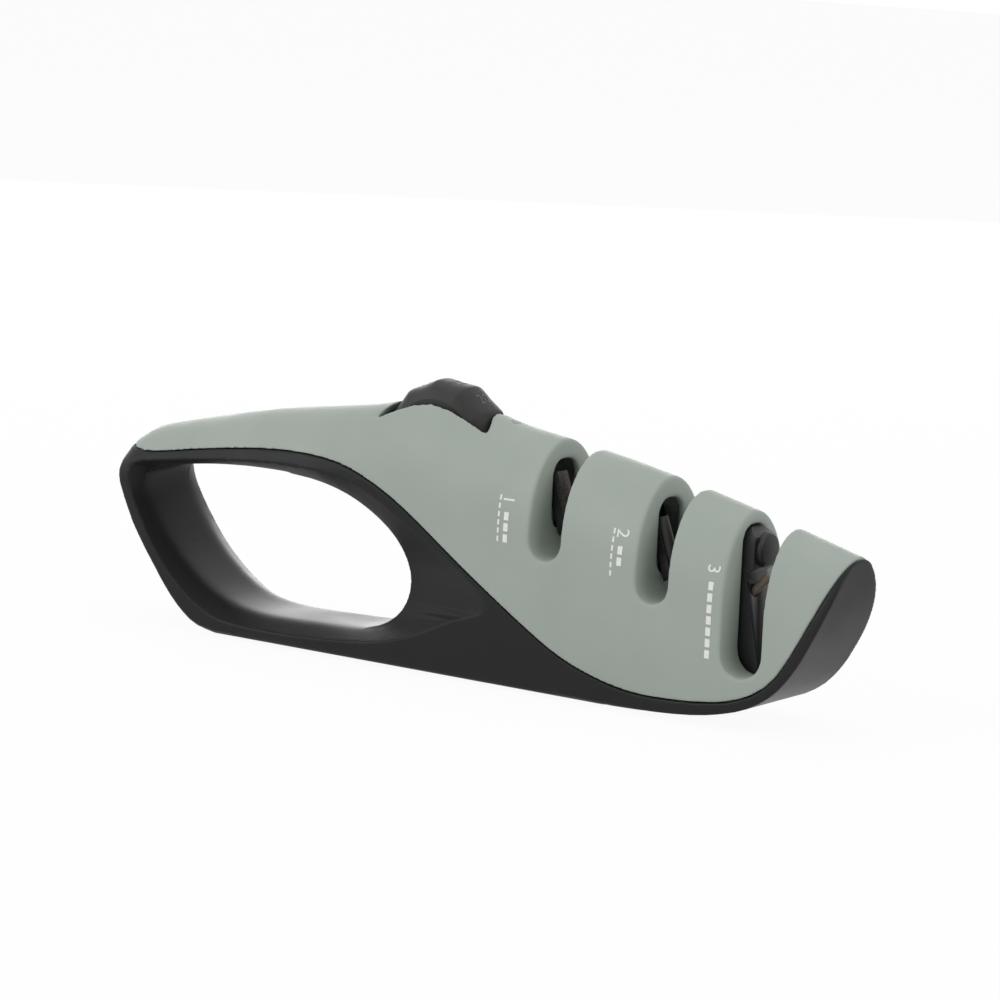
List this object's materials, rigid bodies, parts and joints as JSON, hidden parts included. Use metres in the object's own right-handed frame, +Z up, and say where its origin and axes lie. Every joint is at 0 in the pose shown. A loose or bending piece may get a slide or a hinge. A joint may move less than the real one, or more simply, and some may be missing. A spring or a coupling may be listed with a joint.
{
  "type": "knife and scissor sharpener",
  "caption": "Hand-held pull-through knife and scissor sharpener with a loop handle, an angle dial on top and crosswise sharpening notches.",
  "frame": {"origin": "bottom centre of the bounding box, on the table under the sharpener", "axes": "+X along the length towards the nose, +Y across the body to the far side in the picture, +Z up"},
  "size_m": [0.215, 0.031, 0.0714],
  "materials": {
    "cover_green": "soft-touch matt sage green",
    "body_black": "soft-touch matt charcoal",
    "pad_rubber": "matt non-slip rubber",
    "dial_black": "matt black with pale numbers",
    "mech_black": "black moulded plastic",
    "steel": "plain bright steel",
    "abrasive": "grit-coated steel",
    "ceramic": "pale sintered ceramic, matt",
    "brown_rod": "brown sintered ceramic, matt"
  },
  "bodies": {
    "housing": {"top_cover": "cover_green", "lower_body": "body_black", "base_pad": "pad_rubber", "dial_axle": "steel", "dial_washer": "steel", "dial_frame": "mech_black", "coarse_bracket": "mech_black", "fine_bracket": "mech_black", "scissor_holder": "mech_black", "scissor_guide": "mech_black", "scissor_rod": "brown_rod", "cover_screw_1": "steel", "cover_screw_2": "steel", "cover_screw_3": "steel", "cover_screw_4": "steel", "frame_screw_1": "steel", "coarse_screw_1": "steel", "fine_screw_1": "steel", "scissor_screw_1": "steel", "frame_screw_2": "steel", "coarse_screw_2": "steel", "fine_screw_2": "steel", "scissor_screw_2": "steel", "coarse_pivot_left": "steel", "fine_pivot_left": "steel", "fine_spring_left": "steel", "coarse_pivot_right": "steel", "fine_pivot_right": "steel", "fine_spring_right": "steel"},
    "dial": {"angle_dial": "dial_black"},
    "slide": {"cam_slide": "mech_black"},
    "coarse_left": {"coarse_arm_left": "mech_black", "coarse_plate_left": "abrasive"},
    "coarse_right": {"coarse_arm_right": "mech_black", "coarse_plate_right": "abrasive"},
    "fine_left": {"fine_arm_left": "mech_black", "fine_rod_left": "ceramic"},
    "fine_right": {"fine_arm_right": "mech_black", "fine_rod_right": "ceramic"}
  },
  "joints": [
    {"name": "dial_turn", "type": "hinge", "parent": "housing", "child": "dial", "pos_m": [-0.0115, 0, 0.0545], "axis": [0, 1, 0], "range_deg": [-90, 60]},
    {"name": "slide_run", "type": "slide", "parent": "housing", "child": "slide", "axis": [1, 0, 0], "range_m": [-0.00084, 0.00056]},
    {"name": "coarse_left_turn", "type": "hinge", "parent": "housing", "child": "coarse_left", "pos_m": [0.0186, 0, 0.036], "axis": [0, 1, 0], "range_deg": [-4.01, 6.01]},
    {"name": "coarse_right_turn", "type": "hinge", "parent": "housing", "child": "coarse_right", "pos_m": [0.0386, 0, 0.036], "axis": [0, 1, 0], "range_deg": [-6.01, 4.01]},
    {"name": "fine_left_turn", "type": "hinge", "parent": "housing", "child": "fine_left", "pos_m": [0.0494, 0, 0.03], "axis": [0, -1, 0], "range_deg": [0, 6], "stiffness_Nm_per_rad": 0.3, "deforming": ["fine_spring_left"]},
    {"name": "fine_right_turn", "type": "hinge", "parent": "housing", "child": "fine_right", "pos_m": [0.069, 0, 0.03], "axis": [0, 1, 0], "range_deg": [0, 6], "stiffness_Nm_per_rad": 0.3, "deforming": ["fine_spring_right"]}
  ],
  "couplings": [
    {"joint": "slide_run", "follows": "dial_turn", "m_per_rad": 0.00053333},
    {"joint": "coarse_left_turn", "follows": "dial_turn", "ratio": -0.066667},
    {"joint": "coarse_right_turn", "follows": "dial_turn", "ratio": 0.066667}
  ]
}
